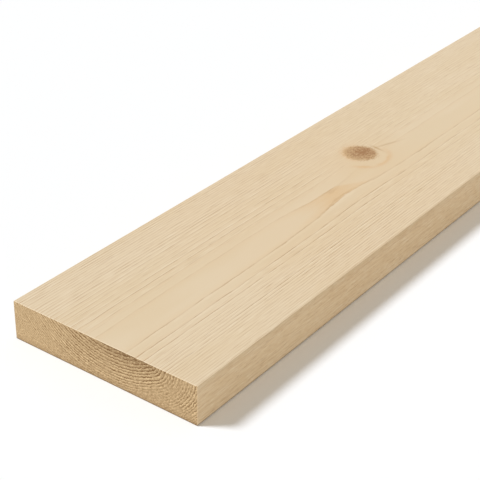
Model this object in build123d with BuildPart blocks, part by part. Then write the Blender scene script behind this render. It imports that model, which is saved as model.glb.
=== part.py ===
"""A planed softwood plank, one sawn piece, lying on its wide face.

The length runs along X, the width along Y and the thickness along Z.
The origin is in the middle of the underside. Millimetres.
"""
import os

from build123d import *

# Driving dimensions
LENGTH = 1800.0       # from one sawn end to the other, along the grain
WIDTH = 145.0         # across the wide face
THICKNESS = 28.0      # from the underside to the top face
ARRIS_RADIUS = 0.8    # the four long edges are eased after planing
END_CHAMFER = 0.5     # the edge around each sawn end is broken with abrasive paper

with BuildPart() as plank:
    # The planed section stands on the floor and is drawn out along the grain
    with BuildSketch(Plane.YZ.offset(-LENGTH / 2)):
        with Locations((0, THICKNESS / 2)):
            RectangleRounded(WIDTH, THICKNESS, ARRIS_RADIUS)
    extrude(amount=LENGTH)

    # Seen from above, the sawn ends have broken corners
    with BuildSketch(Plane.XY) as plan:
        Rectangle(LENGTH, WIDTH)
        chamfer(plan.vertices(), END_CHAMFER)
    extrude(amount=THICKNESS, mode=Mode.INTERSECT)

    # Seen from the side, they have the same broken corners at the top and the underside
    with BuildSketch(Plane.XZ.offset(-WIDTH / 2)) as elevation:
        with Locations((0, THICKNESS / 2)):
            Rectangle(LENGTH, THICKNESS)
        chamfer(elevation.vertices(), END_CHAMFER)
    extrude(amount=WIDTH, mode=Mode.INTERSECT)

plank.part.label = "plank"

os.makedirs("parts", exist_ok=True)
export_step(plank.part, "parts/plank.step")
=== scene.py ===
# %% [markdown]
# A planed softwood plank.
#
# A plank is about the plainest shape there is, so nearly all of its look is in the wood itself: rings
# that make bowls on the sawn end, run as thin lines along the planed faces, and swing round a knot. In a
# real plank these are one thing, the growth rings of a stem, cut in three directions. A pattern for each
# face would be quicker to make, but the patterns would not meet at the edges. This lesson builds the
# rings once, as a solid pattern that fills the whole plank, and lets each face cut it.

import math

import bpy
from mathutils import Color, Matrix, Vector


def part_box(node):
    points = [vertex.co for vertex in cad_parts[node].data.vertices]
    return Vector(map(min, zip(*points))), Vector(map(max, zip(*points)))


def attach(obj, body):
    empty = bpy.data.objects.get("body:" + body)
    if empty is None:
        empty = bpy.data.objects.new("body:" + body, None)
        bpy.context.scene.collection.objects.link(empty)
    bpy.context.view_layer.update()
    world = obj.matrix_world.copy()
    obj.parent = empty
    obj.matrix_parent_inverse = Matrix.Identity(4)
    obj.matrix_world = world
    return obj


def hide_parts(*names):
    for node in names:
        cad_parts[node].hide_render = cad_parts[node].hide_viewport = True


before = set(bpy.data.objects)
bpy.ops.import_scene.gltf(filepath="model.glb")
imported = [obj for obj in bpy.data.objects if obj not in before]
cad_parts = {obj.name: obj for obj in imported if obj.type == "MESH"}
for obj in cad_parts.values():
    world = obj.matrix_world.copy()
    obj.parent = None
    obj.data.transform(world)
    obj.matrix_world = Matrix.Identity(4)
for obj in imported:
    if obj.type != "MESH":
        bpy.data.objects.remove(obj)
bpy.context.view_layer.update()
bpy.context.scene.view_settings.view_transform = "Standard"

PLANK_LOW, PLANK_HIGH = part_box("plank")
PLANK_SIZE = PLANK_HIGH - PLANK_LOW
PLANK_MIDDLE = (PLANK_LOW + PLANK_HIGH) / 2
MM = 0.001
print("nodes in the frame:", len(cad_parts))
print("plank", [round(side / MM, 1) for side in PLANK_SIZE], "mm")

# %% [markdown]
# The board's body.
#
# A planer leaves the long edges of a board sharp, so all four are eased a little afterwards, and the edge
# around each sawn end is broken by a wipe of abrasive paper. One Bevel modifier would round all of these
# edges alike. Here a cube at the plank's own size is bevelled twice in edit mode, each time with its own
# width. The long edges come first, because the rounding of the ends has to run over the rounded corners.

# %% Pick edges and faces by a rule
# Points that are nearer to a plane than this lie in it.
TOUCH = 0.01 * MM


def pick(mesh_object, kind, wanted):
    """Selects the edges or faces of a mesh that a rule wants, and nothing else, ready for an edit."""
    bpy.ops.object.mode_set(mode="OBJECT")
    bpy.context.tool_settings.mesh_select_mode = (False, kind == "edges", kind == "polygons")
    mesh = mesh_object.data
    for group in (mesh.vertices, mesh.edges, mesh.polygons):
        group.foreach_set("select", [False] * len(group))
    chosen = [item for item in getattr(mesh, kind) if wanted(mesh, item)]
    for item in chosen:
        item.select = True
    bpy.ops.object.mode_set(mode="EDIT")
    return len(chosen)


def run_of(mesh, edge):
    """The step from one point of an edge to the other."""
    first, second = (mesh.vertices[index].co for index in edge.vertices)
    return second - first


def runs_along_grain(mesh, edge):
    """True for an edge that runs the whole length of the plank."""
    return abs(run_of(mesh, edge).x) > PLANK_SIZE.x / 2


def rims_an_end(mesh, edge):
    """True for an edge that lies in one of the two sawn ends."""
    at_an_end = all(abs(mesh.vertices[index].co.x) > PLANK_HIGH.x - TOUCH for index in edge.vertices)
    return at_an_end and not runs_along_grain(mesh, edge)


print("points within", TOUCH / MM, "mm of an end lie in it")

# %% Start from a block at the plank's size
ARRIS_RADIUS, ARRIS_STEPS = 0.8 * MM, 4
END_ROUNDING, END_STEPS = 0.5 * MM, 3

bpy.ops.object.select_all(action="DESELECT")
bpy.ops.mesh.primitive_cube_add(size=1.0, location=PLANK_MIDDLE, scale=PLANK_SIZE)
board = bpy.context.object
board.name = "board"
bpy.ops.object.transform_apply(location=True, rotation=True, scale=True)

long_edges = pick(board, "edges", runs_along_grain)
bpy.ops.mesh.bevel(offset=ARRIS_RADIUS, offset_type="OFFSET", segments=ARRIS_STEPS, affect="EDGES")
end_edges = pick(board, "edges", rims_an_end)
bpy.ops.mesh.bevel(offset=END_ROUNDING, offset_type="OFFSET", segments=END_STEPS, affect="EDGES")
bpy.ops.object.mode_set(mode="OBJECT")
print("rounded", long_edges, "long edges and", end_edges, "end edges,", len(board.data.polygons), "faces")

# %% [markdown]
# Cutting the ends fine.
#
# A saw tears soft spring wood a little deeper than hard summer wood, so each ring stands up as a low
# ridge on the end. To carry those ridges the end needs a grid of small faces, which the long faces can do
# without. Bisect first parts the last few millimetres from the long faces, and the middle of each end
# from its rounded rim. Subdivide then splits the straight edges of the end into short ones, and the faces
# between them become the grid. Subdivide makes a hundred cuts at most, so the long way across is cut
# twice.

# %% Cut both ends into a fine grid
END_ZONE = 6.0 * MM
ALONG, ACROSS, UP = Vector((1, 0, 0)), Vector((0, 1, 0)), Vector((0, 0, 1))
# The way that the edges run, the shortest edge that is split, and the number of cuts.
SPLITS = (
    (ACROSS, PLANK_SIZE.y / 2, 5),
    (ACROSS, PLANK_SIZE.y / 8, 37),
    (UP, PLANK_SIZE.z / 2, 39),
)


def every_face(mesh, face):
    """True for every face."""
    return True


def in_end_zone(mesh, face):
    """True for a face that lies in the last few millimetres of the plank."""
    return abs(face.center.x) > PLANK_HIGH.x - END_ZONE


def end_edges_along(direction, shortest):
    """A rule for edges of the end zones that run along a direction and are long enough to split."""
    def rule(mesh, edge):
        nearest = min(abs(mesh.vertices[index].co.x) for index in edge.vertices)
        long_enough = abs(run_of(mesh, edge).dot(direction)) > shortest
        return long_enough and nearest > PLANK_HIGH.x - END_ZONE - TOUCH
    return rule


for place in (PLANK_LOW.x + END_ZONE, PLANK_HIGH.x - END_ZONE):
    pick(board, "polygons", every_face)
    bpy.ops.mesh.bisect(plane_co=ALONG * place, plane_no=ALONG)
for direction, low, high in ((ACROSS, PLANK_LOW.y, PLANK_HIGH.y), (UP, PLANK_LOW.z, PLANK_HIGH.z)):
    for place in (low + ARRIS_RADIUS, high - ARRIS_RADIUS):
        pick(board, "polygons", in_end_zone)
        bpy.ops.mesh.bisect(plane_co=direction * place, plane_no=direction)
for direction, shortest, cuts in SPLITS:
    pick(board, "edges", end_edges_along(direction, shortest))
    bpy.ops.mesh.subdivide(number_cuts=cuts)
bpy.ops.object.mode_set(mode="OBJECT")
print("board has", len(board.data.polygons), "faces after the ends are cut")

# %% [markdown]
# Writing sums as nodes.
#
# The same ring pattern is needed twice: as colour in the shader, and as real ridges on the sawn ends.
# Nodes can be wired by hand, but these would have to be wired twice, and kept alike. Shader and geometry
# node trees share their Math, Vector Math and Noise nodes, so a small helper that writes sums as nodes
# can build the pattern in either kind of tree.

# %% A helper that writes sums as nodes


class Sums:
    """Adds nodes to one tree, each fed by sockets or by plain numbers."""

    def __init__(self, tree):
        self.tree = tree

    def feed(self, socket, value):
        """Links a socket to another, or sets it to a plain value."""
        if isinstance(value, bpy.types.NodeSocket):
            self.tree.links.new(value, socket)
        else:
            socket.default_value = value

    def node(self, kind, values, **settings):
        """Adds one node, sets its options, and feeds its inputs by name or by place."""
        made = self.tree.nodes.new(kind)
        for name, value in settings.items():
            setattr(made, name, value)
        for name, value in values.items():
            self.feed(made.inputs[name], value)
        return made

    def math(self, operation, *values):
        """One step of arithmetic."""
        return self.node("ShaderNodeMath", dict(enumerate(values)), operation=operation).outputs[0]

    def times(self, first, *others):
        """The product of some values."""
        product = first
        for other in others:
            product = self.math("MULTIPLY", product, other)
        return product

    def plus(self, base, value, gain):
        """A base, plus a value times a gain."""
        return self.math("MULTIPLY_ADD", value, gain, base)

    def vector(self, operation, *values):
        """One step of arithmetic on points."""
        made = self.node("ShaderNodeVectorMath", dict(enumerate(values)), operation=operation)
        return made.outputs["Value" if operation in ("LENGTH", "DOT_PRODUCT") else "Vector"]

    def parts(self, point):
        """The parts of a point, by the names X, Y and Z."""
        return self.node("ShaderNodeSeparateXYZ", {"Vector": point}).outputs

    def point(self, x, y, z):
        """A point from three numbers."""
        return self.node("ShaderNodeCombineXYZ", {"X": x, "Y": y, "Z": z}).outputs[0]


print("sums:", ", ".join(name for name in vars(Sums) if not name.startswith("_")))

# %% [markdown]
# Soft shapes from sums.
#
# Wood has no hard borders, so every mask in this lesson is made of a few soft shapes: a step that eases
# in and out, a bell that fades with distance, a hump around a point, and noise. A Color Ramp could draw a
# step too, but a Map Range node also takes its ends from other sums. Colours go on as stains, each laid
# over the last. Values whose names end in STEP say where a step begins and ends, and mostly also its
# first and last value.

# %% Steps, bells, noise and stains
NOISE_SPREAD = 4.0
# A Mix node holds sockets for numbers, points and colours, so those for colours are found by place.
MIX_SHARE, MIX_FIRST, MIX_SECOND, MIX_RESULT = 0, 6, 7, 2


class WoodSums(Sums):
    """Sums with the soft shapes and the stains that wood needs."""

    def ramp(self, value, low, high, start=0.0, end=1.0):
        """A soft step from start to end while the value goes from low to high."""
        values = {"Value": value, "From Min": low, "From Max": high, "To Min": start, "To Max": end}
        return self.node("ShaderNodeMapRange", values, interpolation_type="SMOOTHSTEP").outputs[0]

    def noise(self, point, size, detail=2.0, rough=0.5):
        """Soft noise from about -1 to 1 whose lumps have the given size in millimetres along X, Y and Z."""
        scaled = self.vector("DIVIDE", point, size)
        values = {"Vector": scaled, "Scale": 1.0, "Detail": detail, "Roughness": rough}
        found = self.node("ShaderNodeTexNoise", values, noise_dimensions="3D").outputs[0]
        return self.plus(-NOISE_SPREAD / 2, found, NOISE_SPREAD)

    def bell(self, distance, reach):
        """A smooth bell that is 1 where the distance is nothing and fades over the reach."""
        share = self.math("POWER", self.math("DIVIDE", distance, reach), 2.0)
        return self.math("EXPONENT", self.times(share, -1.0))

    def hump(self, point, middle, reach):
        """A bell around a point, with its own reach along X, Y and Z."""
        away = self.vector("DIVIDE", self.vector("SUBTRACT", point, middle), reach)
        return self.bell(self.vector("LENGTH", away), 1.0)

    def mix(self, share, first, second):
        """A colour between two others."""
        values = {MIX_SHARE: share, MIX_FIRST: first, MIX_SECOND: second}
        return self.node("ShaderNodeMix", values, data_type="RGBA").outputs[MIX_RESULT]

    def stain(self, colour, tint, *shares):
        """A colour with a tint laid over it, as strongly as the product of the shares."""
        return self.mix(self.times(*shares), colour, tint)


print("wood sums:", ", ".join(name for name in vars(WoodSums) if not name.startswith("_")))

# %% [markdown]
# The growth rings.
#
# On the sawn end the rings are bowls, wide and open on the far side, and turning up steeply at the near
# edge. A Wave Texture draws round rings with one centre only. These are an arch of two centres, as a
# mason would draw it: one high above the plank, and a second, close one that takes over near the edge.
# The distance from these centres, in millimetres, is the depth of a point in the stem, and everything
# else follows from it: which ring a point is in, and how far through that ring.

# %% The arch of two centres
STEM_ACROSS, STEM_HEIGHT = -6.8, 79.7
TURN_ACROSS, TURN_HEIGHT = -37.0, 28.0
TURN_SQUEEZE = 0.15
stem_to_turn = Vector((0.0, TURN_ACROSS - STEM_ACROSS, TURN_HEIGHT - STEM_HEIGHT))
turn_side = stem_to_turn.cross(ALONG).normalized()


def arch_depth(sums, point):
    """How far a point lies outside the arch, in millimetres, on the open side or on the steep side."""
    parts = sums.parts(point)
    section = sums.point(0.0, parts["Y"], parts["Z"])
    from_stem = sums.vector("SUBTRACT", section, (0.0, STEM_ACROSS, STEM_HEIGHT))
    open_side = sums.math("SUBTRACT", sums.vector("LENGTH", from_stem), stem_to_turn.length)
    from_turn = sums.vector("SUBTRACT", section, (0.0, TURN_ACROSS, TURN_HEIGHT))
    turn_radius = sums.vector("LENGTH", from_turn)
    beyond = sums.vector("DOT_PRODUCT", from_turn, turn_side)
    swing = sums.math("POWER", sums.math("DIVIDE", beyond, turn_radius), 2.0)
    steep_side = sums.times(turn_radius, sums.plus(1.0, swing, -TURN_SQUEEZE))
    is_steep = sums.math("GREATER_THAN", beyond, 0.0)
    return sums.plus(open_side, is_steep, sums.math("SUBTRACT", steep_side, open_side))


print("the two centres are", round(stem_to_turn.length, 1), "mm apart")

# %% [markdown]
# Swings in the grain.
#
# Where a branch left the stem the rings dip round it, and next to that dip they rise a little. On the top
# face the dip swings the lines round the knot, and the rise pinches two lines into a waist before it. The
# stem also tapers, and no stem grows quite straight. Bending the pattern's coordinates would give such
# swings too, but a few millimetres that are added to the depth are easier to place and to read.

# %% The depth of a point in the stem
NEAR_END = PLANK_LOW.x / MM
TOP = PLANK_HIGH.z / MM
KNOT_FROM_END, KNOT_ACROSS = 312.0, 14.5
KNOT_LEAN_ALONG, KNOT_LEAN_ACROSS = -0.12, 0.45
KNOT_DIP, KNOT_REACH = 3.0, 13.0
WAIST_FROM_END, WAIST_ACROSS, WAIST_RISE = 247.0, -6.8, 1.02
WAIST_REACH = (48.0, 26.0, 30.0)
TAPER_STEP = (-400.0, 900.0, 0.0, 5.0)
SWAY = {"size": (260.0, 40.0, 40.0), "detail": 1.0}
WAVER = {"size": (28.0, 4.0, 4.0)}
WANDER = 0.12


def knot_offset(sums, point):
    """The step to a point from the middle of the branch that left the knot, in millimetres."""
    up = sums.parts(point)["Z"]
    below = sums.math("SUBTRACT", TOP, up)
    middle_along = sums.plus(NEAR_END + KNOT_FROM_END, below, KNOT_LEAN_ALONG)
    middle_across = sums.plus(KNOT_ACROSS, below, KNOT_LEAN_ACROSS)
    return sums.vector("SUBTRACT", point, sums.point(middle_along, middle_across, up))


def stem_depth(sums, point):
    """The depth of a point in the stem, in millimetres, with the swing round the knot and the taper."""
    depth = arch_depth(sums, point)
    dip = sums.bell(sums.vector("LENGTH", knot_offset(sums, point)), KNOT_REACH)
    depth = sums.plus(depth, dip, -KNOT_DIP)
    waist = sums.hump(point, (NEAR_END + WAIST_FROM_END, WAIST_ACROSS, TOP), WAIST_REACH)
    depth = sums.plus(depth, waist, WAIST_RISE)
    depth = sums.math("ADD", depth, sums.ramp(sums.parts(point)["X"], *TAPER_STEP))
    depth = sums.plus(depth, sums.noise(point, **SWAY), WANDER)
    return sums.plus(depth, sums.noise(point, **WAVER), WANDER)


print("waist", WAIST_FROM_END, "mm and knot", KNOT_FROM_END, "mm from the near end")

# %% [markdown]
# Counting the rings.
#
# A young stem grows wide rings and an old one narrow rings, so the count of rings rises a little faster
# than the depth. The whole part of the count names the year, and the rest, from 0 to 1, says how far
# through the year a point grew: pale spring wood first, then a thin dark line of summer wood with a sharp
# outer side. Where the rings are narrow, the spring and the line each take a larger share of the year.
# Each year also has its own luck, a random number, because some summers leave a stronger line than
# others. The planed faces and the sawn ends both need all this, so it becomes a shader node group, built
# once.

# %% The count of rings at a depth
RINGS_PER_MM, RINGS_GAIN, RING_START = 0.44, 0.0028, 0.806
UNEVEN = {"size": (5.0, 5.0, 5.0), "detail": 1.0}
UNEVEN_YEARS = 0.2
TORN_FIBRES = {"size": (6.0, 2.0, 2.0), "detail": 3.0, "rough": 0.65}


def ring_count(sums, depth):
    """The number of rings down to a depth, with uneven years."""
    count = sums.plus(RING_START, sums.plus(RINGS_PER_MM, depth, RINGS_GAIN), depth)
    uneven = sums.noise(sums.point(depth, 0.0, 0.0), **UNEVEN)
    return sums.plus(count, uneven, UNEVEN_YEARS)


def fuzzy_depth(sums, point, fuzz):
    """The depth in the stem, blurred by the torn fibres of a cut face."""
    return sums.plus(stem_depth(sums, point), sums.noise(point, **TORN_FIBRES), fuzz)


print("the widest rings are about", round(1 / RINGS_PER_MM, 1), "mm")

# %% A helper for node groups
FLOAT, VECTOR = "NodeSocketFloat", "NodeSocketVector"


def new_group(name, tree_kind, inputs, outputs):
    """A node group with named sockets, its sums, its input sockets and its output sockets."""
    tree = bpy.data.node_groups.new(name, tree_kind)
    for way, sockets in (("INPUT", inputs), ("OUTPUT", outputs)):
        for label, kind in sockets.items():
            tree.interface.new_socket(name=label, in_out=way, socket_type=kind)
    entry = tree.nodes.new("NodeGroupInput")
    leave = tree.nodes.new("NodeGroupOutput")
    return tree, WoodSums(tree), entry.outputs, leave.inputs


def in_millimetres(sums, where):
    """A place in metres as one in millimetres."""
    return sums.vector("MULTIPLY", where, (1.0 / MM, 1.0 / MM, 1.0 / MM))


print("a metre is", 1.0 / MM, "mm in the groups")

# %% A shader group for the rings
FIRST_YEAR = 9.0
WIDE_RINGS, NARROW_RINGS = 0.0, 14.0
SPRING_FULL, SPRING_END = 0.04, (0.3, 0.5)
SUMMER_START, SUMMER_FULL, SUMMER_STOP = 0.45, 0.95, 0.96
LINE_START, LINE_STOP = (0.84, 0.58), 0.98


def late_wood(sums, season, start, stop):
    """Hard wood that builds up from its start until late in the year, and stops at the year's end."""
    return sums.times(sums.ramp(season, start, SUMMER_FULL), sums.ramp(season, 1.0, stop))


rings, sums, entry, leave = new_group(
    "growth_rings",
    "ShaderNodeTree",
    {"Position": VECTOR, "Fuzz": FLOAT},
    dict.fromkeys(("Spring", "Summer", "Line", "Luck", "Depth"), FLOAT),
)
depth = fuzzy_depth(sums, in_millimetres(sums, entry["Position"]), entry["Fuzz"])
count = ring_count(sums, depth)
year = sums.math("FLOOR", count)
season = sums.math("SUBTRACT", count, year)
spring_end = sums.ramp(depth, WIDE_RINGS, NARROW_RINGS, *SPRING_END)
line_start = sums.ramp(depth, WIDE_RINGS, NARROW_RINGS, *LINE_START)
named_year = sums.math("ADD", year, FIRST_YEAR)
luck = sums.node("ShaderNodeTexWhiteNoise", {"W": named_year}, noise_dimensions="1D")
sums.feed(leave["Spring"], sums.ramp(season, spring_end, SPRING_FULL))
sums.feed(leave["Summer"], late_wood(sums, season, SUMMER_START, SUMMER_STOP))
sums.feed(leave["Line"], late_wood(sums, season, line_start, LINE_STOP))
sums.feed(leave["Luck"], luck.outputs["Value"])
sums.feed(leave["Depth"], depth)
print("growth_rings has", len(rings.nodes), "nodes")

# %% [markdown]
# Where the lines show.
#
# A planer knife lifts one ring line and smooths the next, so on a real face the lines come and go. They
# are clearest in a few belts along the plank, they break into short runs, they fade and return slowly
# along the length, and in some spots they nearly vanish. A mask could be painted by hand, but sums can do
# without a picture: a bell for each belt, stretched noise for the breaks, a slow wave along the length
# and a hump for each quiet spot, all multiplied together.

# %% How clearly the lines show
FAINTEST = 0.42
# The middle of each belt across the plank, its reach, and how much clearer its lines are.
CLEAR_BELTS = (
    (67.0, 6.0, 0.3),
    (44.0, 5.0, 0.1),
    (20.0, 6.0, 0.55),
    (-26.0, 10.0, 1.1),
    (-47.0, 5.0, 0.6),
    (-62.0, 9.0, 0.3),
)
BREAKS = {"size": (17.0, 2.0, 2.0), "rough": 0.6}
BREAK_STEP = (-0.4, 0.4, 0.3, 1.0)
CLEAREST_FROM_END, SWELL_EVERY = 80.0, 700.0
SWELL_STEP = (-0.7, 0.5)
DULLEST_STEP = (14.0, 30.0, 0.85, 0.5)
# Each quiet spot's place from the near end and across the plank, and how much its lines lose.
QUIET_SPOTS = ((50.0, -60.0, 0.6), (210.0, 64.0, 0.25), (370.0, 64.0, 0.25))
QUIET_REACH = (110.0, 16.0, 40.0)


def swell(sums, along, from_end):
    """A slow wave along the plank, 1 at a place from the near end and at even steps beyond it."""
    beyond = sums.math("SUBTRACT", along, NEAR_END + from_end)
    return sums.math("COSINE", sums.times(beyond, 2.0 * math.pi / SWELL_EVERY))


def line_presence(sums, place):
    """How clearly the ring lines show at a place."""
    parts = sums.parts(place)
    belts = FAINTEST
    for middle, reach, gain in CLEAR_BELTS:
        belts = sums.plus(belts, sums.bell(sums.math("SUBTRACT", parts["Y"], middle), reach), gain)
    presence = sums.times(sums.ramp(sums.noise(place, **BREAKS), *BREAK_STEP), belts)
    from_stem = sums.math("ABSOLUTE", sums.math("SUBTRACT", parts["Y"], STEM_ACROSS))
    dullest = sums.ramp(from_stem, *DULLEST_STEP)
    clearest = swell(sums, parts["X"], CLEAREST_FROM_END)
    presence = sums.times(presence, sums.ramp(clearest, *SWELL_STEP, dullest, 1.0))
    for from_end, middle, loss in QUIET_SPOTS:
        quiet = sums.hump(place, (NEAR_END + from_end, middle, TOP), QUIET_REACH)
        presence = sums.times(presence, sums.plus(1.0, quiet, -loss))
    return presence


print(len(CLEAR_BELTS), "clear belts and", len(QUIET_SPOTS), "quiet spots")

# %% [markdown]
# The fibres.
#
# Softwood is a bundle of fibres a few millimetres long, and every planed face shows them as fine streaks
# and hairs along the grain, with a few short, dark dashes of resin. On the narrow edges they show as
# coarser flecks. Over longer stretches the wood is a little paler here and riper, which is warmer, there.
# Noise that is stretched along X gives nearly all of these. The group puts them out as plain masks, so
# that each face can colour them in its own way.

# %% A shader group for fibres
STREAKS = {"size": (70.0, 1.6, 1.6), "detail": 3.0, "rough": 0.6}
HAIRS = {"size": (16.0, 0.7, 0.7), "detail": 1.0}
DASHES = {"size": (30.0, 0.9, 0.9), "detail": 1.0}
DASH_STEP = (0.75, 1.15)
FLECKS = {"size": (6.0, 0.9, 0.9), "rough": 0.6}
PATCHES = {"size": (130.0, 22.0, 22.0)}
RIPEST_FROM_END, RIPE_STEP = 230.0, (0.2, 0.9)

fibres, sums, entry, leave = new_group(
    "fibres",
    "ShaderNodeTree",
    {"Position": VECTOR},
    dict.fromkeys(("Streak", "Hair", "Dash", "Fleck", "Presence", "Patch", "Ripe"), FLOAT),
)
place = in_millimetres(sums, entry["Position"])
ripest = swell(sums, sums.parts(place)["X"], RIPEST_FROM_END)
sums.feed(leave["Streak"], sums.noise(place, **STREAKS))
sums.feed(leave["Hair"], sums.noise(place, **HAIRS))
sums.feed(leave["Dash"], sums.ramp(sums.noise(place, **DASHES), *DASH_STEP))
sums.feed(leave["Fleck"], sums.noise(place, **FLECKS))
sums.feed(leave["Presence"], line_presence(sums, place))
sums.feed(leave["Patch"], sums.noise(place, **PATCHES))
sums.feed(leave["Ripe"], sums.ramp(ripest, *RIPE_STEP))
print("fibres has", len(fibres.nodes), "nodes")

# %% [markdown]
# The knot.
#
# A knot is a branch that the stem grew around. Cut across, it is a brown disc with a ragged edge, darkest
# and most speckled in the heart, with an orange rim on one side. Around it the rings close up: a soft
# loop and two short strokes are the traces of that. The wood just before the knot is calm, with few
# lines, and at the waist lies a lens of warm wood that ends in a slanting cut. The knot could be a piece
# of its own, but in the real plank it is grown in, so it is part of the solid pattern. It leans through
# the plank, and comes out further over on the underside.

# %% The strokes, the loop and the lens
# Each stroke's middle from the knot, the way it runs, its length and its strength.
TAILS = (
    (Vector((15.6, -5.0, 0.0)), Vector((-0.2, -0.98, 0.0)), 6.0, 1.0),
    (Vector((27.0, -7.6, 0.0)), Vector((0.94, -0.33, 0.0)), 12.0, 0.68),
)
TAIL_WIDTH = 1.1
LOOP_MIDDLE, LOOP_RADIUS, LOOP_WIDTH = (-1.5, -0.5, 0.0), 22.5, 2.2
LOOP_SIDE, LOOP_SIDE_STEP = (-0.1, -0.99, 0.0), (4.0, 17.0)
LOOP_WAVES, LOOP_WAVE = {"size": (10.0, 10.0, 10.0), "detail": 1.0}, 1.6
LOOP_BREAK_STEP = (-0.7, 0.5, 0.45, 1.0)
LENS_MIDDLE, LENS_REACH = (NEAR_END + 240.0, -7.5, TOP), (50.0, 12.0, 9.0)
LENS_SLANT, LENS_CUT_STEP = 1.7, (NEAR_END + 257.0, NEAR_END + 250.0)


def knot_tails(sums, offset):
    """The short dark strokes beside the knot."""
    tails = 0.0
    for middle, run, length, strength in TAILS:
        from_tail = sums.vector("SUBTRACT", offset, middle)
        along_tail = sums.bell(sums.vector("DOT_PRODUCT", from_tail, run), length)
        across_tail = sums.bell(sums.vector("DOT_PRODUCT", from_tail, run.cross(UP)), TAIL_WIDTH)
        tails = sums.plus(tails, sums.times(along_tail, across_tail), strength)
    return tails


def knot_loop(sums, place, offset):
    """The soft, uneven line of a ring that closes round one side of the knot."""
    uneven = sums.noise(place, **LOOP_WAVES)
    radius = sums.vector("LENGTH", sums.vector("SUBTRACT", offset, LOOP_MIDDLE))
    radius = sums.plus(radius, uneven, LOOP_WAVE)
    line = sums.bell(sums.math("SUBTRACT", radius, LOOP_RADIUS), LOOP_WIDTH)
    side = sums.ramp(sums.vector("DOT_PRODUCT", offset, LOOP_SIDE), *LOOP_SIDE_STEP)
    return sums.times(line, sums.ramp(uneven, *LOOP_BREAK_STEP), side)


def warm_lens(sums, place):
    """The lens of warm wood at the waist, up to its slanting cut."""
    parts = sums.parts(place)
    past_cut = sums.plus(parts["X"], parts["Y"], LENS_SLANT)
    lens = sums.hump(place, LENS_MIDDLE, LENS_REACH)
    return sums.times(lens, sums.ramp(past_cut, *LENS_CUT_STEP))


print(len(TAILS), "strokes and a loop of", LOOP_RADIUS, "mm radius beside the knot")

# %% A shader group for the knot
KNOT_RADIUS = 13.3
RAGGED, RAGGED_EDGE = {"size": (2.0, 1.5, 2.0), "detail": 3.0, "rough": 0.7}, 2.4
DISC_STEP = (KNOT_RADIUS + 1.6, KNOT_RADIUS - 2.8)
SPECKLES, HEART_SPECKLE = {"size": (1.5, 1.5, 1.5), "rough": 0.7}, 11.0
HEART_MIDDLE, HEART_STEP = (2.5, -1.0, 0.0), (KNOT_RADIUS + 1.0, 1.0)
RIM_STEP = (KNOT_RADIUS + 5.0, KNOT_RADIUS - 4.0)
RIM_SIDE, RIM_SIDE_STEP = (-0.55, 0.83, 0.0), (-2.0, 11.0)
CALM_MIDDLE, CALM_REACH = (-12.0, -2.5, 0.0), (36.0, 22.0, 1.0)

knot_group, sums, entry, leave = new_group(
    "knot",
    "ShaderNodeTree",
    {"Position": VECTOR},
    dict.fromkeys(("Disc", "Heart", "Rim", "Tail", "Loop", "Calm", "Lens"), FLOAT),
)
place = in_millimetres(sums, entry["Position"])
offset = knot_offset(sums, place)
distance = sums.plus(sums.vector("LENGTH", offset), sums.noise(place, **RAGGED), RAGGED_EDGE)
from_heart = sums.vector("LENGTH", sums.vector("SUBTRACT", offset, HEART_MIDDLE))
speckled = sums.plus(from_heart, sums.noise(place, **SPECKLES), HEART_SPECKLE)
rim_side = sums.ramp(sums.vector("DOT_PRODUCT", offset, RIM_SIDE), *RIM_SIDE_STEP)
sums.feed(leave["Disc"], sums.ramp(distance, *DISC_STEP))
sums.feed(leave["Heart"], sums.ramp(speckled, *HEART_STEP))
sums.feed(leave["Rim"], sums.times(sums.ramp(distance, *RIM_STEP), rim_side))
sums.feed(leave["Tail"], knot_tails(sums, offset))
sums.feed(leave["Loop"], knot_loop(sums, place, offset))
sums.feed(leave["Calm"], sums.hump(offset, CALM_MIDDLE, CALM_REACH))
sums.feed(leave["Lens"], warm_lens(sums, place))
print("knot has", len(knot_group.nodes), "nodes")

# %% [markdown]
# The planed faces.
#
# Planed spruce or pine is a pale cream, with rings that show as thin honey-coloured lines, and only a
# faint sheen. A wood texture with two colours would be too even. Here the colour starts from cream and
# takes one thin stain after another: the warm summer wood, its brown line, the white of the next spring,
# the fibres, and the knot. The narrow edges are the same wood cut the other way, a little deeper in tone,
# with faint lines and clear flecks. They also carry painted shade: a painted contact shadow along the
# lower edge, and a faint painted shade towards the upper one. So one function makes both finishes from
# different values.

# %% Colours, written as a picture program shows them
FULL = 255


def shade(red, green, blue):
    """A colour from 0 to 255, as the numbers that the renderer works in."""
    written = Color((red / FULL, green / FULL, blue / FULL))
    return (*written.from_srgb_to_scene_linear(), 1.0)


CREAM = shade(223, 201, 167)
PALE = shade(225, 204, 172)
EDGE_CREAM = shade(223, 198, 161)
EDGE_PALE = shade(227, 203, 167)
SPRING_WHITE = shade(241, 226, 200)
HONEY = shade(220, 187, 143)
BROWN_LINE = shade(160, 114, 64)
KNOT_RIM = shade(216, 172, 120)
KNOT_BROWN = shade(193, 158, 115)
KNOT_HEART = shade(159, 116, 74)
# The colour of painted shade: a painted contact shadow along lower edges, and faint shade near upper edges.
PAINTED_SHADE = shade(96, 74, 50)
print("cream for the renderer:", [round(part, 3) for part in CREAM])

# %% Stains of the rings
# Depths from the middle of the top, where the knife meets the rings flat and their lines are faint.
MIDDLE_LINE_STEP = (-7.0, 4.0, 0.38, 1.0)
MIDDLE_SPRING_STEP = (-7.0, 8.0, 0.6, 1.0)
LENS_LINES = 0.85
LEAST_LUCK, LUCK_GAIN = 0.6, 0.4


def year_strength(sums, ring):
    """How strongly a year shows, by its luck."""
    return sums.plus(LEAST_LUCK, ring["Luck"], LUCK_GAIN)


def away_from_calm(sums, knot):
    """1 in most of the plank, and less in the calm wood by the knot."""
    return sums.math("SUBTRACT", 1.0, knot["Calm"])


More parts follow.
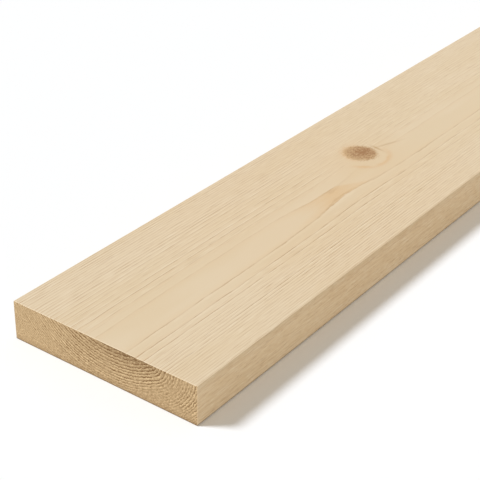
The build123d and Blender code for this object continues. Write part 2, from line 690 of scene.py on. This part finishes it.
def lines_shown(sums, ring, knot):
    """How far lines show: less in calm wood and over the middle of the stem, but well along the lens."""
    clear = sums.times(away_from_calm(sums, knot), sums.ramp(ring["Depth"], *MIDDLE_LINE_STEP))
    return sums.math("MAXIMUM", clear, sums.times(knot["Lens"], LENS_LINES))


def ring_stains(sums, colour, ring, knot, warmth, strength):
    """Stains for the warm summer wood, its brown line and the white of the next spring."""
    warm = sums.math("MAXIMUM", sums.times(away_from_calm(sums, knot), warmth), knot["Lens"])
    colour = sums.stain(colour, HONEY, ring["Summer"], warm)
    colour = sums.stain(colour, BROWN_LINE, ring["Line"], strength)
    pale = sums.ramp(ring["Depth"], *MIDDLE_SPRING_STEP)
    return sums.stain(colour, SPRING_WHITE, ring["Spring"], strength, pale)


print("a year shows with a strength from", LEAST_LUCK, "to", LEAST_LUCK + LUCK_GAIN)

# %% Stains of the fibres
STREAK_STEP = (0.2, 1.2, 0.0, 0.08)
DARK_FIBRE_STEP, LIGHT_FIBRE_STEP = (0.1, 1.2), (-0.1, -1.2)
DARK_HAIRS, LIGHT_HAIRS = 0.2, 0.4
LIGHTER_FLECKS = 1.6
DASH_STRENGTH = 0.4


def two_way_stain(sums, colour, pattern, dark, light):
    """A brown stain on the high side of a pattern and a white one on its low side."""
    colour = sums.stain(colour, BROWN_LINE, sums.ramp(pattern, *DARK_FIBRE_STEP, 0.0, dark))
    return sums.stain(colour, SPRING_WHITE, sums.ramp(pattern, *LIGHT_FIBRE_STEP, 0.0, light))


def fibre_stains(sums, colour, fibre, hair, dash, flecks):
    """Stains for the streaks, the hairs, the flecks and the dashes of resin."""
    colour = sums.stain(colour, HONEY, sums.ramp(fibre["Streak"], *STREAK_STEP))
    colour = two_way_stain(sums, colour, hair, DARK_HAIRS, LIGHT_HAIRS)
    colour = two_way_stain(sums, colour, fibre["Fleck"], flecks, LIGHTER_FLECKS * flecks)
    return sums.stain(colour, BROWN_LINE, dash, DASH_STRENGTH)


print("hairs are stained by up to", DARK_HAIRS, "brown and", LIGHT_HAIRS, "white")

# %% Stains of the knot and the painted shade
# What the knot group shows, the colour of its stain and its strength.
KNOT_STAINS = (
    ("Calm", HONEY, 0.22),
    ("Loop", KNOT_RIM, 0.46),
    ("Tail", KNOT_BROWN, 0.8),
    ("Rim", KNOT_RIM, 0.85),
    ("Disc", KNOT_BROWN, 0.95),
)
# A painted contact shadow along the lower edge, and a faint painted shade towards the upper edge.
CONTACT_SHADE_STEP = (1.8 * MM, 0.4 * MM)
# Painted shade towards the upper edge: where it starts and ends, and its strength.
TOP_SHADE_STEP, TOP_SHADE = (20.0 * MM, 28.0 * MM), 0.13


def knot_stains(sums, colour, knot):
    """Stains for the knot and what lies around it, the heart last."""
    for mask, tint, strength in KNOT_STAINS:
        colour = sums.stain(colour, tint, knot[mask], strength)
    return sums.stain(colour, KNOT_HEART, knot["Heart"], knot["Disc"])


def painted_shade_stain(sums, colour, where, shade_strength):
    """Painted shade: a painted contact shadow along the lower edge, and a faint painted shade towards the
    upper edge.
    """
    height = sums.parts(where)["Z"]
    contact_shade = sums.ramp(height, *CONTACT_SHADE_STEP, 0.0, shade_strength)
    top_shade = sums.ramp(height, *TOP_SHADE_STEP, 0.0, TOP_SHADE * shade_strength)
    return sums.stain(colour, PAINTED_SHADE, sums.math("ADD", contact_shade, top_shade))


print(len(KNOT_STAINS) + 1, "stains make the knot")

# %% Helpers for a material


def new_material(name):
    """An empty material with its sums and its shader."""
    material = bpy.data.materials.new(name)
    material.use_nodes = True
    tree = material.node_tree
    return material, WoodSums(tree), tree.nodes["Principled BSDF"]


def place_on_board(sums):
    """The place of a point on the board, in metres."""
    return sums.node("ShaderNodeTexCoord", {}).outputs["Object"]


def use_group(sums, group, values):
    """Puts a group into a material, feeds its inputs, and gives its outputs."""
    return sums.node("ShaderNodeGroup", values, node_tree=group).outputs


def dress(sums, shader, colour, roughness, relief):
    """Gives a shader its colour, its roughness and its fine relief."""
    sums.feed(shader.inputs["Base Color"], colour)
    sums.feed(shader.inputs["Roughness"], roughness)
    sums.feed(shader.inputs["Normal"], sums.node("ShaderNodeBump", relief).outputs[0])


print("groups to use:", rings.name, fibres.name, knot_group.name)

# %% The planed finishes
PLANED_FUZZ = 0.05
PATCH_STEP = (-0.5, 0.5)
RIPE_WARMTH = 0.15
ROUGH_CUT_STEP = (-7.0, -4.0, 0.1, 1.0)
PLANED_ROUGHNESS, STREAK_ROUGHNESS = 0.56, 0.06
PLANED_GLOSS = 0.3
LINE_RELIEF, PLANED_RELIEF, PLANED_DEPTH = 0.5, 0.25, 0.05 * MM


def planed_wood(name, cream, pale, warmth, lines, flecks, shade_strength):
    """A planed face: cream wood with ring lines, fibres and the knot, and some painted shade near its lower
    and upper edges.
    """
    material, sums, shader = new_material(name)
    where = place_on_board(sums)
    ring = use_group(sums, rings, {"Position": where, "Fuzz": PLANED_FUZZ})
    fibre = use_group(sums, fibres, {"Position": where})
    knot = use_group(sums, knot_group, {"Position": where})
    shown = lines_shown(sums, ring, knot)
    strength = sums.times(year_strength(sums, ring), fibre["Presence"], lines, shown)
    rough_cut = sums.ramp(ring["Depth"], *ROUGH_CUT_STEP)
    hair = sums.times(fibre["Hair"], rough_cut)
    dash = sums.times(fibre["Dash"], rough_cut, shown)

    colour = sums.mix(sums.ramp(fibre["Patch"], *PATCH_STEP), cream, pale)
    colour = sums.stain(colour, HONEY, fibre["Ripe"], RIPE_WARMTH)
    colour = ring_stains(sums, colour, ring, knot, warmth, strength)
    colour = fibre_stains(sums, colour, fibre, hair, dash, flecks)
    colour = knot_stains(sums, colour, knot)
    colour = painted_shade_stain(sums, colour, where, shade_strength)
    roughness = sums.plus(PLANED_ROUGHNESS, fibre["Streak"], STREAK_ROUGHNESS)
    height = sums.plus(hair, ring["Line"], LINE_RELIEF)
    relief = {"Height": height, "Strength": PLANED_RELIEF, "Distance": PLANED_DEPTH}
    dress(sums, shader, colour, roughness, relief)
    shader.inputs["Specular IOR Level"].default_value = PLANED_GLOSS
    return material


# Only the narrow edges get the painted contact shadow and the painted shade near their upper edge.
planed_face = planed_wood("planed_face", CREAM, PALE, warmth=0.16, lines=1.0, flecks=0.0, shade_strength=0.0)
planed_edge = planed_wood(
    "planed_edge", EDGE_CREAM, EDGE_PALE, warmth=0.2, lines=0.3, flecks=0.36, shade_strength=0.7
)
print("planed finishes:", planed_face.name, planed_edge.name)

# %% [markdown]
# The sawn ends.
#
# End grain drinks in the light between its open fibres, so it is a tone darker than the planed faces,
# with stronger rings and a rough, fuzzy look. Each ring goes from pale spring wood to dark summer wood
# and starts again with a sharp side, so the tone is the spring mask less the summer mask. The rings are
# clearest in the middle of the width and high up. Low down, and in a slanting dull zone, the saw tore the
# wood, and the rings give way to speckle. The wood is browner where it comes nearest to the heart of the
# stem. Painted shade darkens the lowest few millimetres, and a painted contact shadow lines the edge on
# the floor. A darker copy of the planed finish would have none of this.

# %% The tone of the sawn ends
BLOTCHES = {"size": (7.0, 7.0, 3.0)}
CLEAR_ACROSS_STEP = (66.0, 12.0, 0.5, 1.0)
CLEAR_BLOTCH_STEP = (-0.8, 0.6, 0.4, 1.1)
CLEAR_UP_STEP = (4.0, 16.0, 0.55, 1.25)
DULL_ACROSS, DULL_SLANT, DULL_REACH, DULL_LOSS = -34.0, 1.1, 13.0, 0.7
LOW_STEP = (16.0, 4.0)
TORN_GAIN = 0.5
RING_TONE, TORN_TONE, MIDDLE_TONE = 0.8, -0.24, 0.54


def end_tone(sums, ring, place, speckle):
    """The tone of a sawn end, from dark to pale: clear rings in places, and torn speckle in others."""
    parts = sums.parts(place)
    past_dull = sums.plus(parts["Y"], parts["Z"], DULL_SLANT)
    dull = sums.bell(sums.math("SUBTRACT", past_dull, DULL_ACROSS), DULL_REACH)
    clear = sums.times(
        sums.ramp(parts["Y"], *CLEAR_ACROSS_STEP),
        sums.ramp(sums.noise(place, **BLOTCHES), *CLEAR_BLOTCH_STEP),
        sums.ramp(parts["Z"], *CLEAR_UP_STEP),
        sums.plus(1.0, dull, -DULL_LOSS),
    )
    wave = sums.math("SUBTRACT", ring["Spring"], ring["Summer"])
    tone = sums.times(wave, clear, year_strength(sums, ring), RING_TONE)
    torn = sums.math("MAXIMUM", dull, sums.ramp(parts["Z"], *LOW_STEP))
    torn = sums.times(speckle, sums.plus(1.0, torn, TORN_GAIN))
    return sums.math("ADD", sums.plus(tone, torn, TORN_TONE), MIDDLE_TONE)


print("the dull zone reaches", DULL_REACH, "mm to each side")

# %% The finish of the sawn ends
END_PALE = shade(233, 204, 160)
END_DARK = shade(137, 105, 68)
END_HEART = shade(120, 88, 54)
END_FUZZ = 0.65
END_SPECKLES = {"size": (1.4, 1.4, 1.0), "rough": 0.7}
STEM_HEART, STEM_HEART_REACH = (0.0, -21.0, TOP + 1.0), (1.0, 25.0, 6.5)
STEM_HEART_STEP = (-0.6, 0.4, 0.3, 0.9)
FAR_SIDE_STEP = (10.0, 62.0, 0.0, 0.16)
# Painted shade: the lowest few millimetres of the end are darkened.
END_LOW_SHADE_STEP = (5.0, 0.8, 0.0, 0.25)
# A painted contact shadow along the bottom edge of the end.
END_CONTACT_SHADE_STEP = (1.2, 0.2, 0.0, 0.7)
SAWN_ROUGHNESS, SPECKLE_ROUGHNESS = 0.8, 0.05
SAWN_GLOSS = 0.2
SAWN_RELIEF, SAWN_DEPTH = 0.35, 0.12 * MM


def sawn_wood(name):
    """A sawn end: fuzzy light and dark rings, speckled, and browner towards the heart of the stem."""
    material, sums, shader = new_material(name)
    where = place_on_board(sums)
    ring = use_group(sums, rings, {"Position": where, "Fuzz": END_FUZZ})
    place = in_millimetres(sums, where)
    parts = sums.parts(place)
    speckle = sums.noise(place, **END_SPECKLES)
    heart = sums.hump(sums.point(0.0, parts["Y"], parts["Z"]), STEM_HEART, STEM_HEART_REACH)

    colour = sums.mix(end_tone(sums, ring, place, speckle), END_DARK, END_PALE)
    colour = sums.stain(colour, END_HEART, heart, sums.ramp(speckle, *STEM_HEART_STEP))
    colour = sums.stain(colour, END_PALE, sums.ramp(parts["Y"], *FAR_SIDE_STEP))
    # Painted shade low on the end.
    colour = sums.stain(colour, END_DARK, sums.ramp(parts["Z"], *END_LOW_SHADE_STEP))
    # A painted contact shadow along the bottom edge.
    colour = sums.stain(colour, PAINTED_SHADE, sums.ramp(parts["Z"], *END_CONTACT_SHADE_STEP))
    roughness = sums.plus(SAWN_ROUGHNESS, speckle, SPECKLE_ROUGHNESS)
    relief = {"Height": speckle, "Strength": SAWN_RELIEF, "Distance": SAWN_DEPTH}
    dress(sums, shader, colour, roughness, relief)
    shader.inputs["Specular IOR Level"].default_value = SAWN_GLOSS
    return material


sawn_end = sawn_wood("sawn_end")
print("end finish:", sawn_end.name)

# %% [markdown]
# Which face gets which finish.
#
# On the real plank the finish depends on the tool that cut the face, and the tool on the way the face
# points: along the length it is sawn, sideways it is a planed edge, and up or down it is a planed face.
# An object for each finish would come apart along the edges, so the three finishes are material slots of
# one mesh, and each face takes its slot from its normal.

# %% Give each face its finish
for finish in (sawn_end, planed_edge, planed_face):
    board.data.materials.append(finish)


def main_axis(normal):
    """0, 1 or 2 for a face that points mostly along X, Y or Z."""
    sizes = [abs(part) for part in normal]
    return sizes.index(max(sizes))


for face in board.data.polygons:
    face.material_index = main_axis(face.normal)
print("sawn faces:", sum(face.material_index == 0 for face in board.data.polygons))

# %% [markdown]
# Real ridges on the ends.
#
# The ridges of the rings catch the light, so they are made in the mesh and not only painted. Sculpting
# them would be slow, and they might not follow the painted rings. A Geometry Nodes modifier reads the
# same ring sums and sinks each point of the end a little, least where the wood is hard. Points only ever
# sink, so the plank keeps its size. A weighted normal modifier then keeps the long faces flat to the
# light, right up to their rounded edges.

# %% A geometry group that sinks the soft wood
GEOMETRY = "NodeSocketGeometry"
RIDGE_DEPTH, RIDGE_STOP = 0.16, 0.9
TEARS, TEAR_DEPTH = {"size": (1.5, 1.3, 1.3)}, 0.35

relief, sums, entry, leave = new_group(
    "end_relief", "GeometryNodeTree", {"Geometry": GEOMETRY}, {"Geometry": GEOMETRY}
)
relief.is_modifier = True
place = in_millimetres(sums, sums.node("GeometryNodeInputPosition", {}).outputs[0])
along = sums.parts(place)["X"]
season = sums.math("FRACT", ring_count(sums, fuzzy_depth(sums, place, END_FUZZ)))
hard = late_wood(sums, season, SUMMER_START, RIDGE_STOP)
torn = sums.plus(1.0, sums.noise(place, **TEARS), TEAR_DEPTH)
soft = sums.math("MAXIMUM", sums.math("SUBTRACT", torn, hard), 0.0)
at_end = sums.math("GREATER_THAN", sums.math("ABSOLUTE", along), (PLANK_HIGH.x - TOUCH) / MM)
inward = sums.times(sums.math("SIGN", along), -RIDGE_DEPTH * MM)
sink = sums.point(sums.times(soft, at_end, inward), 0.0, 0.0)
moved = sums.node("GeometryNodeSetPosition", {"Geometry": entry["Geometry"], "Offset": sink})
sums.feed(leave["Geometry"], moved.outputs[0])
print("end_relief has", len(relief.nodes), "nodes")

# %% Sink the soft wood of the ends
SMOOTH_BELOW = math.radians(40)
bpy.ops.object.select_all(action="DESELECT")
board.select_set(True)
bpy.context.view_layer.objects.active = board
board.modifiers.new("end_relief", "NODES").node_group = relief
bpy.ops.object.modifier_apply(modifier="end_relief")
bpy.ops.object.shade_smooth_by_angle(angle=SMOOTH_BELOW)
flat_faces = board.modifiers.new("flat_faces", "WEIGHTED_NORMAL")
flat_faces.keep_sharp = True
bpy.ops.object.modifier_apply(modifier="flat_faces")
print("ridges of about", RIDGE_DEPTH, "mm on a board of", len(board.data.vertices), "points")

# %% [markdown]
# A map for painted copies.
#
# Other programs can't run these nodes, so a copy of the plank carries its colours in one square picture.
# An automatic unwrap would keep the plank's long, thin shape and waste most of the square. Wood changes
# quickly across the grain and slowly along it, so the six faces are laid out as strips that are stretched
# across the grain, where the fine lines need the room.

# %% Lay the faces out in strips
MAP_SIZE, MAP_GAP = 1024, 8
LONG_STRIP = MAP_SIZE - 2 * MAP_GAP
HALF_STRIP = (LONG_STRIP - MAP_GAP) / 2
WIDE_STRIP, NARROW_STRIP, END_STRIP = 366, 72, 98
row_heights = (END_STRIP, NARROW_STRIP, NARROW_STRIP, WIDE_STRIP, WIDE_STRIP)
row_starts = [MAP_GAP + sum(row_heights[:row]) + MAP_GAP * row for row in range(len(row_heights))]

# Each face's axis and whether it points up that axis, and its strip's left, bottom, width and height.
STRIPS = {
    (0, False): (MAP_GAP, row_starts[0], HALF_STRIP, END_STRIP),
    (0, True): (2 * MAP_GAP + HALF_STRIP, row_starts[0], HALF_STRIP, END_STRIP),
    (1, False): (MAP_GAP, row_starts[1], LONG_STRIP, NARROW_STRIP),
    (1, True): (MAP_GAP, row_starts[2], LONG_STRIP, NARROW_STRIP),
    (2, False): (MAP_GAP, row_starts[3], LONG_STRIP, WIDE_STRIP),
    (2, True): (MAP_GAP, row_starts[4], LONG_STRIP, WIDE_STRIP),
}
# The two axes that a strip shows, for each axis that its face may point along.
SIDES = {0: (1, 2), 1: (0, 2), 2: (0, 1)}

strip_map = board.data.uv_layers.new(name="OFBake")
for face in board.data.polygons:
    axis = main_axis(face.normal)
    left, bottom, wide, tall = STRIPS[axis, face.normal[axis] > 0]
    for corner in face.loop_indices:
        spot = board.data.vertices[board.data.loops[corner].vertex_index].co
        over, up = ((spot[side] - PLANK_LOW[side]) / PLANK_SIZE[side] for side in SIDES[axis])
        strip_map.data[corner].uv = ((left + over * wide) / MAP_SIZE, (bottom + up * tall) / MAP_SIZE)
print("map rows end at", row_starts[-1] + row_heights[-1], "of", MAP_SIZE)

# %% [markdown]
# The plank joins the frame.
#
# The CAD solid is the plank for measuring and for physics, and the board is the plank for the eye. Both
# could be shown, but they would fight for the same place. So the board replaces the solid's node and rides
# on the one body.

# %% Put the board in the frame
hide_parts("plank")
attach(board, "root")
print(board.name, "stands for the plank with", len(board.data.polygons), "faces")

# %% [markdown]
# The floor.
#
# The plank lies on a plain white floor. A floor that is white for the lamps too would throw much light
# back on the plank and weaken its shadow, and more light to whiten a grey floor would bleach the wood. So
# the floor is white for the camera and in reflections, and a warm grey for the light that it throws back.

# %% Floor
FLOOR_SIZE = 40.0
FLOOR_TINT = shade(160, 152, 141)
WHITE = (1.0, 1.0, 1.0, 1.0)


def seen_directly(sums):
    """1 for a ray that the camera or a reflection sees, and 0 for one that only carries light."""
    rays = sums.node("ShaderNodeLightPath", {}).outputs
    seen = sums.math("MAXIMUM", rays["Is Camera Ray"], rays["Is Glossy Ray"])
    return sums.math("MAXIMUM", seen, rays["Is Transmission Ray"])


bpy.ops.object.select_all(action="DESELECT")
bpy.ops.mesh.primitive_plane_add(size=FLOOR_SIZE, location=(0, 0, 0))
floor = bpy.context.object
floor.name = "floor"
floor_finish, sums, shader = new_material("white_floor")
sums.feed(shader.inputs["Base Color"], sums.mix(seen_directly(sums), FLOOR_TINT, WHITE))
shader.inputs["Roughness"].default_value = 1.0
shader.inputs["Specular IOR Level"].default_value = 0.0
floor.data.materials.append(floor_finish)
print("floor of", FLOOR_SIZE, "m")

# %% [markdown]
# The light.
#
# The plank is lit as in a studio. A broad, cool lamp stands high beyond the far side of the sawn end, so
# the shadow falls to the near side with a soft edge. A second lamp, low and narrow, stands off the near
# corner and lights the end and the narrow edge, and an even, warm sky fills the rest. Area lamps would do
# as well, but their light fades along a plank this long, and the light of a sun lamp doesn't. The sky too
# is white for the camera only.

# %% World and lamps
SKY = 0.44
SKY_TINT = (1.0, 0.93, 0.82, 1.0)
KEY_STRENGTH, KEY_SPREAD, KEY_FROM = 2.64, 14.0, Vector((-0.35, 0.5, 0.72))
KEY_TINT = (0.865, 0.921, 1.0)
FILL_STRENGTH, FILL_SPREAD, FILL_FROM = 1.49, 3.0, Vector((-0.63, -0.77, 0.025))
FILL_TINT = (0.975, 0.97, 0.945)


def sun_lamp(name, strength, tint, spread, comes_from):
    """A lamp so far away that its light is even, with a soft edge to its shadow."""
    lamp = bpy.data.lights.new(name, "SUN")
    lamp.energy = strength
    lamp.color = tint
    lamp.angle = math.radians(spread)
    holder = bpy.data.objects.new(name, lamp)
    holder.rotation_euler = comes_from.to_track_quat("Z", "Y").to_euler()
    bpy.context.scene.collection.objects.link(holder)


world = bpy.data.worlds.new("studio")
bpy.context.scene.world = world
world.use_nodes = True
sums = WoodSums(world.node_tree)
seen = seen_directly(sums)
backdrop = world.node_tree.nodes["Background"]
sums.feed(backdrop.inputs["Color"], sums.mix(seen, SKY_TINT, WHITE))
sums.feed(backdrop.inputs["Strength"], sums.plus(SKY, seen, 1.0 - SKY))
sun_lamp("key", KEY_STRENGTH, KEY_TINT, KEY_SPREAD, KEY_FROM)
sun_lamp("fill", FILL_STRENGTH, FILL_TINT, FILL_SPREAD, FILL_FROM)
print("key lamp", KEY_STRENGTH, "fill lamp", FILL_STRENGTH, "sky", SKY)

# %% [markdown]
# The camera.
#
# The picture looks along the plank from beside its near corner, about thirty degrees down, with a long
# lens and a slight roll. A camera can be steered by eye, but the place and angles here are worked out
# from the directions of the plank's edges, so that every edge falls where it should.

# %% Camera
LENS = 95.48
CAMERA_PLACE = Vector((PLANK_LOW.x - 0.4533, -0.4306, 0.4537))
VIEW_TURN = math.radians(-53.903)
VIEW_DIP = math.radians(29.8)
VIEW_ROLL = math.radians(1.07)

camera_data = bpy.data.cameras.new("camera")
camera_data.lens = LENS
camera = bpy.data.objects.new("camera", camera_data)
turn = Matrix.Rotation(VIEW_TURN, 4, "Z")
tilt = Matrix.Rotation(math.pi / 2 - VIEW_DIP, 4, "X")
roll = Matrix.Rotation(VIEW_ROLL, 4, "Z")
camera.matrix_world = Matrix.Translation(CAMERA_PLACE) @ turn @ tilt @ roll
bpy.context.scene.collection.objects.link(camera)
bpy.context.scene.camera = camera
print("camera at", [round(part, 3) for part in CAMERA_PLACE])

# %% [markdown]
# The size, once more.
#
# The board for the eye may not be larger than the plank that was measured. The box around the CAD solid
# was kept at the start.
